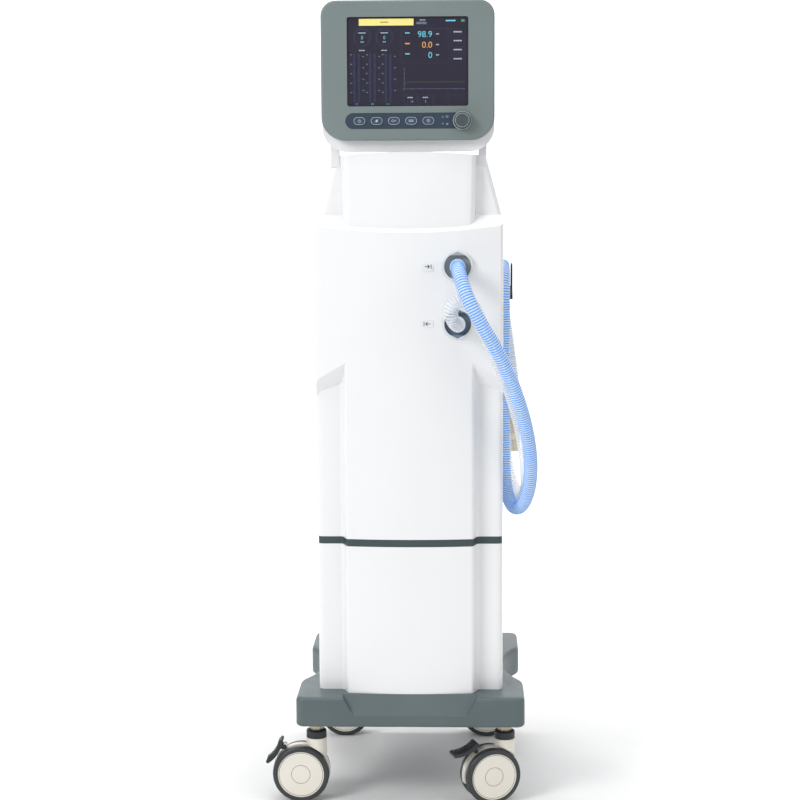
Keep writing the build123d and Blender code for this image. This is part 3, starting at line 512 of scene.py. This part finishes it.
pale, cyan, dim, green, axis = [], [], [], [], []
screen_plates("screen_banner", [on_screen(20.5, 112.8, 3.2, 14.5)], YELLOW)
screen_plates("screen_banner_words", dashes(57, 8.9, [3, 2.2, 3.4, 2.6], 1.6), INK, 0.05)
screen_number("screen_clock", "000000", 117.5, 10.6, 4.0, PALE)
pale += dashes(123, 5.6, [2, 2, 2, 2], 1.6)
cyan += dashes(167, 7, [3.4, 4, 3.4, 4], 2.2)
green += outline_on_screen(193, 199, 5.4, 8.8) + [on_screen(193.8, 197.4, 6.1, 8.1)]
for u in GAUGES:
    dim += arc(SCREEN_LEFT + u, SCREEN_TOP - GAUGE_V, 15.2, 0.5, 0, 360, 48)
    dim += arc(SCREEN_LEFT + u, SCREEN_TOP - GAUGE_V, 13.2, 0.9, -50, 230, 40)
    pale += dashes(u - 6.2, 26.5, [2.4, 3, 2.2, 3], 1.7)
    pale += dashes(u - 2.6, 41.5, [2.2, 2.4], 1.5)
    pale += dashes(u - 5.5, 55.5, [3, 2.2, 3.6], 1.6)
for column, u in enumerate(COLUMNS):
    bars = [on_screen(u - 1.4, u + 1.4, COLUMN_TOP, COLUMN_END),
            on_screen(u + 6.3, u + 9.1, COLUMN_TOP, COLUMN_END)]
    screen_plates("screen_bars_%d" % column, bars, BAR_BLUE)
    for step in range(5):
        axis += dashes(u - 6.6, 62.7 + 15.7 * step, [1.3, 1.3], 1.5, 0.3)
        dim.append(on_screen(u - 2.4, u - 1.4, 62.5 + 15.7 * step, 62.8 + 15.7 * step))
    for step in range(4):
        axis += dashes(u + 13.9, 65.7 + 18.9 * step, [1.3, 1.3], 1.5, 0.3)
        dim.append(on_screen(u + 9.1, u + 10.1, 65.5 + 18.9 * step, 65.8 + 18.9 * step))
dim += outline_on_screen(92.1, 171.8, 20.2, 77.4, 0.5)
for name, text, v, colour in READINGS:
    screen_plates("screen_caption_%d" % v, dashes(98.5, v - 2, [2.2, 2.2, 2.2], 1.9), colour)
    pale += dashes(150.5, v, [2.0, 2.6], 1.8)
for v0, v1 in SIDE_BUTTONS:
    dim += outline_on_screen(175.3, 199.1, v0, v1, 0.4)
    pale += dashes(180.2, (v0 + v1) / 2, [3, 3, 3, 3], 2.2)
axis.append(on_screen(96.4, 96.8, 85.3, 123.5))
axis.append(on_screen(92.7, 199, 119.9, 120.3))
for tick in range(8):
    axis.append(on_screen(96.5 + 14.4 * tick, 96.9 + 14.4 * tick, 118.6, 121.4))
for tick in range(5):
    axis.append(on_screen(95.2, 98.0, 85.5 + 8.6 * tick, 85.9 + 8.6 * tick))
screen_plates("screen_trace", [on_screen(97.5, 198, 108.5, 109.0)], TRACE)
for u0, u1 in LOWER_BOXES:
    dim += outline_on_screen(u0, u1, 130.3, 146, 0.4)
for u in (102, 128):
    pale += dashes(u, 134.5, [2.6, 2.6, 2.6], 1.8)
screen_number("screen_low_left", "10", 107.2, 141.3, 3.2, PALE)
screen_number("screen_low_right", "8", 131.5, 141.3, 3.2, PALE)
screen_plates("screen_pale", pale, PALE)
screen_plates("screen_cyan", cyan, CYAN)
screen_plates("screen_dim", dim, DIM)
screen_plates("screen_green", green, GREEN)
screen_plates("screen_axis", axis, AXIS)
for name, u in (("left", 23.8), ("right", 61.4)):
    screen_number("screen_gauge_" + name, "0", u, 34.2, 5.6, CYAN)
for name, text, v, colour in READINGS:
    screen_number("screen_" + name, text, 144.4, v, 10.2, colour, right=True)
for name, u, colour in (("left", 13.5, VALUE_BLUE), ("middle", 40.5, CYAN), ("right", 67.0, GREEN)):
    screen_number("screen_value_" + name, "0.0", u, 144.9, 2.8, colour)


# ---- marks on the key strip ------------------------------------------------------------
STRIP_Z = 1194.5
KEY_FRONT = -213.2
KNOB_X = 92
LED_X = 59.2
UPPER_LED_Z, LOWER_LED_Z = 1200.3, 1189.5
KEY_LIGHT = moulded("key_print", (0.54, 0.60, 0.66), 0.5, tone=0.03, grain=0.05)
LED_GREEN = lit("led_green", (0.10, 0.32, 0.20), 0.4)
KEYS = ["power_key", "silence_key", "gas_key", "menu_key", "lamp_key"]


def key_icon(index, x, z):
    """Power, silence, gas, menu or lamp sign round x, z."""
    if index == 0:
        return arc(x, z - 0.2, 2.3, 0.5, 120, 420) + [line(x, z + 0.3, x, z + 2.6, 0.5)]
    if index == 1:
        bell = [(x - 2.4, z - 1.4), (x + 2.4, z - 1.4), (x + 1.7, z - 0.4), (x + 1.5, z + 1.2),
                (x + 0.6, z + 2.2), (x - 0.6, z + 2.2), (x - 1.5, z + 1.2), (x - 1.7, z - 0.4)]
        return [bell, disc(x, z - 2.0, 0.6, 12), line(x - 3.2, z - 2.6, x + 3.2, z + 2.8, 0.45)]
    if index == 2:
        return arc(x - 2.0, z, 1.7, 0.5, 0, 360) + [line(x + 1.0, z, x + 3.6, z, 0.5),
                                                    line(x + 2.3, z - 1.3, x + 2.3, z + 1.3, 0.5)]
    if index == 3:
        return [line(x - 4.0, z + 1.5 * k, x + 4.0, z + 1.5 * k, 0.55) for k in (-1, 0, 1)]
    rays = []
    for k in range(8):
        across, up = math.cos(math.radians(45 * k)), math.sin(math.radians(45 * k))
        rays.append(line(x + 2.4 * across, z + 2.4 * up, x + 3.3 * across, z + 3.3 * up, 0.4))
    return arc(x, z, 1.5, 0.5, 0, 360) + rays


for index, key in enumerate(KEYS):
    low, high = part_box(key)
    x = (low.x + high.x) / 2 / MM
    marks = stadium_ring(x, STRIP_Z, 19.0, 12.0, 0.55) + key_icon(index, x, STRIP_Z)
    plates(key + "_marks", marks, KEY_FRONT - 0.08, 0.12, KEY_LIGHT, key)

strip_marks = [line(x - 1.6, z, x + 1.6, z, 0.6) for x, z in ((66.3, 1200.3), (66.8, 1189.8))]
strip_marks += arc(66.3, 1200.3, 2.4, 0.4, 20, 160, 10) + [box_2d(65.2, 68.2, 1187.6, 1188.4)]
plates("strip_icons", strip_marks, -211.68, 0.12, KEY_LIGHT, "monitor")
plates("strip_leds", [disc(LED_X, z, 1.1) for z in (UPPER_LED_Z, LOWER_LED_Z)], -211.72, 0.16,
       LED_GREEN, "monitor")
flange_ring = arc(KNOB_X, STRIP_Z, 15.2, 0.7, 0, 360, 64)
# The pale ring on the cap is a painted highlight along the cap's chamfer.
cap_highlight = arc(KNOB_X, STRIP_Z, 11.4, 0.35, 0, 360, 64)
plates("knob_ring", flange_ring, -217.62, 0.14, RIM_AND_HIGHLIGHT, "knob")
plates("knob_face_highlight", cap_highlight, -231.05, 0.1, RIM_AND_HIGHLIGHT, "knob")


# ---- port labels: plain arrows, inwards and outwards ------------------------------------
low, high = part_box("port_labels")
label_x = (low.x + high.x) / 2 / MM
label_front = low.y / MM
for name, z, sign in (("label_arrow_in", INHALE_Z, 1), ("label_arrow_out", EXHALE_Z, -1)):
    shape = [line(label_x - 4 * sign, z, label_x + 3 * sign, z, 1.3),
             line(label_x + 0.6 * sign, z + 2.6, label_x + 3.4 * sign, z, 1.3),
             line(label_x + 0.6 * sign, z - 2.6, label_x + 3.4 * sign, z, 1.3),
             line(label_x + 6.2 * sign, z - 3, label_x + 6.2 * sign, z + 3, 1.3)]
    plates(name, shape, label_front - 0.1, 0.14, PRINT, "trolley")


# ---- tread ribs on the two brake pedals ---------------------------------------------------
# X and Z of the pedal's middle line, from the caster's stem, with the caster not turned.
PEDAL_START = Vector((-62.5, 107))
PEDAL_MIDDLE = Vector((-67.9, 90.9))
PEDAL_END = Vector((-86.5, 70.5))
PEDAL_PIVOT = Vector((-57, 0, 96))
PEDAL_SWING = 34
RIB_DEPTH = 3.4
RIB_SECTIONS = ((-13.4, 0.7), (-12.4, 1.6), (12.4, 1.6), (13.4, 0.7))
RIB_SIDES = 10
RIB_COUNT = 9


def circle_centre(a, b, c):
    """Centre of the circle through three points."""
    first, second = b - a, c - a
    scale = 2 * (first.x * second.y - first.y * second.x)
    f, g = first.length_squared, second.length_squared
    return a + Vector((second.y * f - first.y * g, first.x * g - second.x * f)) / scale


def pedal_ribs(name, body, x, y, turn, swing):
    """Rounded bars across the hollow side of a pedal; each section is its place across and its radius."""
    centre = circle_centre(PEDAL_START, PEDAL_MIDDLE, PEDAL_END)
    reach = (PEDAL_START - centre).length
    first = math.atan2(PEDAL_START.y - centre.y, PEDAL_START.x - centre.x)
    last = math.atan2(PEDAL_END.y - centre.y, PEDAL_END.x - centre.x)
    sweep = math.remainder(last - first, 2 * math.pi)
    place = (Matrix.Translation((x, y, 0)) @ Matrix.Rotation(math.radians(turn), 4, "Z")
             @ Matrix.Translation(PEDAL_PIVOT) @ Matrix.Rotation(math.radians(swing), 4, "Y")
             @ Matrix.Translation(-PEDAL_PIVOT))
    points, faces = [], []
    for k in range(RIB_COUNT):
        a = first + sweep * (k + 0.5) / RIB_COUNT
        heart = centre + Vector((math.cos(a), math.sin(a))) * (reach - RIB_DEPTH)
        start = len(points)
        for across, size in RIB_SECTIONS:
            for i in range(RIB_SIDES):
                b = 2 * math.pi * i / RIB_SIDES
                local = Vector((heart.x + size * math.cos(b), across, heart.y + size * math.sin(b)))
                points.append((place @ local) * MM)
        for level in range(len(RIB_SECTIONS) - 1):
            for i in range(RIB_SIDES):
                j = (i + 1) % RIB_SIDES
                row = start + level * RIB_SIDES
                faces.append((row + i, row + j, row + RIB_SIDES + j, row + RIB_SIDES + i))
        top = start + (len(RIB_SECTIONS) - 1) * RIB_SIDES
        faces.append(tuple(range(start + RIB_SIDES - 1, start - 1, -1)))
        faces.append(tuple(range(top, top + RIB_SIDES)))
    mesh_object(name, points, faces, DARK, body, smooth=True)


pedal_ribs("pedal_ribs_left", "brake_left", -168, -185, 0, 0)
pedal_ribs("pedal_ribs_right", "brake_right", 166, -185, 19, PEDAL_SWING)


# ---- stage and light --------------------------------------------------------------------
backdrop = moulded("backdrop", (0.88, 0.88, 0.88), 0.9, tone=0.01, grain=0.0)
FLOOR_FRONT, FLOOR_BACK, FLOOR_HALF = -6.0, 3.6, 9.0
WALL_BEND, WALL_TOP = 2.0, 9.0
profile = [(FLOOR_FRONT, 0.0), (FLOOR_BACK, 0.0)]
for degrees in range(6, 91, 6):
    a = math.radians(degrees)
    profile.append((FLOOR_BACK + WALL_BEND * math.sin(a), WALL_BEND - WALL_BEND * math.cos(a)))
profile.append((FLOOR_BACK + WALL_BEND, WALL_TOP))
sheet_points = [(x, y, z) for y, z in profile for x in (-FLOOR_HALF, FLOOR_HALF)]
sheet_faces = [(2 * i, 2 * i + 1, 2 * i + 3, 2 * i + 2) for i in range(len(profile) - 1)]
floor_mesh = bpy.data.meshes.new("floor")
floor_mesh.from_pydata(sheet_points, [], sheet_faces)
floor_mesh.materials.append(backdrop)
floor_mesh.shade_smooth()
floor = bpy.data.objects.new("floor", floor_mesh)
bpy.context.scene.collection.objects.link(floor)

world = bpy.data.worlds.new("world")
bpy.context.scene.world = world
world.use_nodes = True
world.node_tree.nodes["Background"].inputs["Color"].default_value = (0.97, 0.975, 0.985, 1)
world.node_tree.nodes["Background"].inputs["Strength"].default_value = 0.55


def area_light(name, place, target, size, energy):
    lamp = bpy.data.lights.new(name, "AREA")
    lamp.shape = "RECTANGLE"
    lamp.size, lamp.size_y = size
    lamp.energy = energy
    obj = bpy.data.objects.new(name, lamp)
    bpy.context.scene.collection.objects.link(obj)
    obj.location = place
    obj.rotation_euler = (Vector(target) - Vector(place)).to_track_quat("-Z", "Y").to_euler()
    return obj


area_light("key", (-2.4, -2.6, 2.6), (0, 0, 0.8), (1.3, 1.3), 66)
area_light("fill", (2.6, -2.4, 1.6), (0, 0, 0.7), (1.6, 2.2), 13)
area_light("top", (0.0, -0.4, 3.4), (0, 0, 0.6), (2.4, 2.0), 34)
area_light("back_floor", (0.0, 0.9, 3.2), (0, 3.4, 1.4), (4.0, 0.8), 90)
area_light("back_wall", (0.0, 2.8, 3.4), (0, 5.4, 1.4), (4.0, 0.8), 110)
bpy.context.scene.view_settings.view_transform = "Standard"
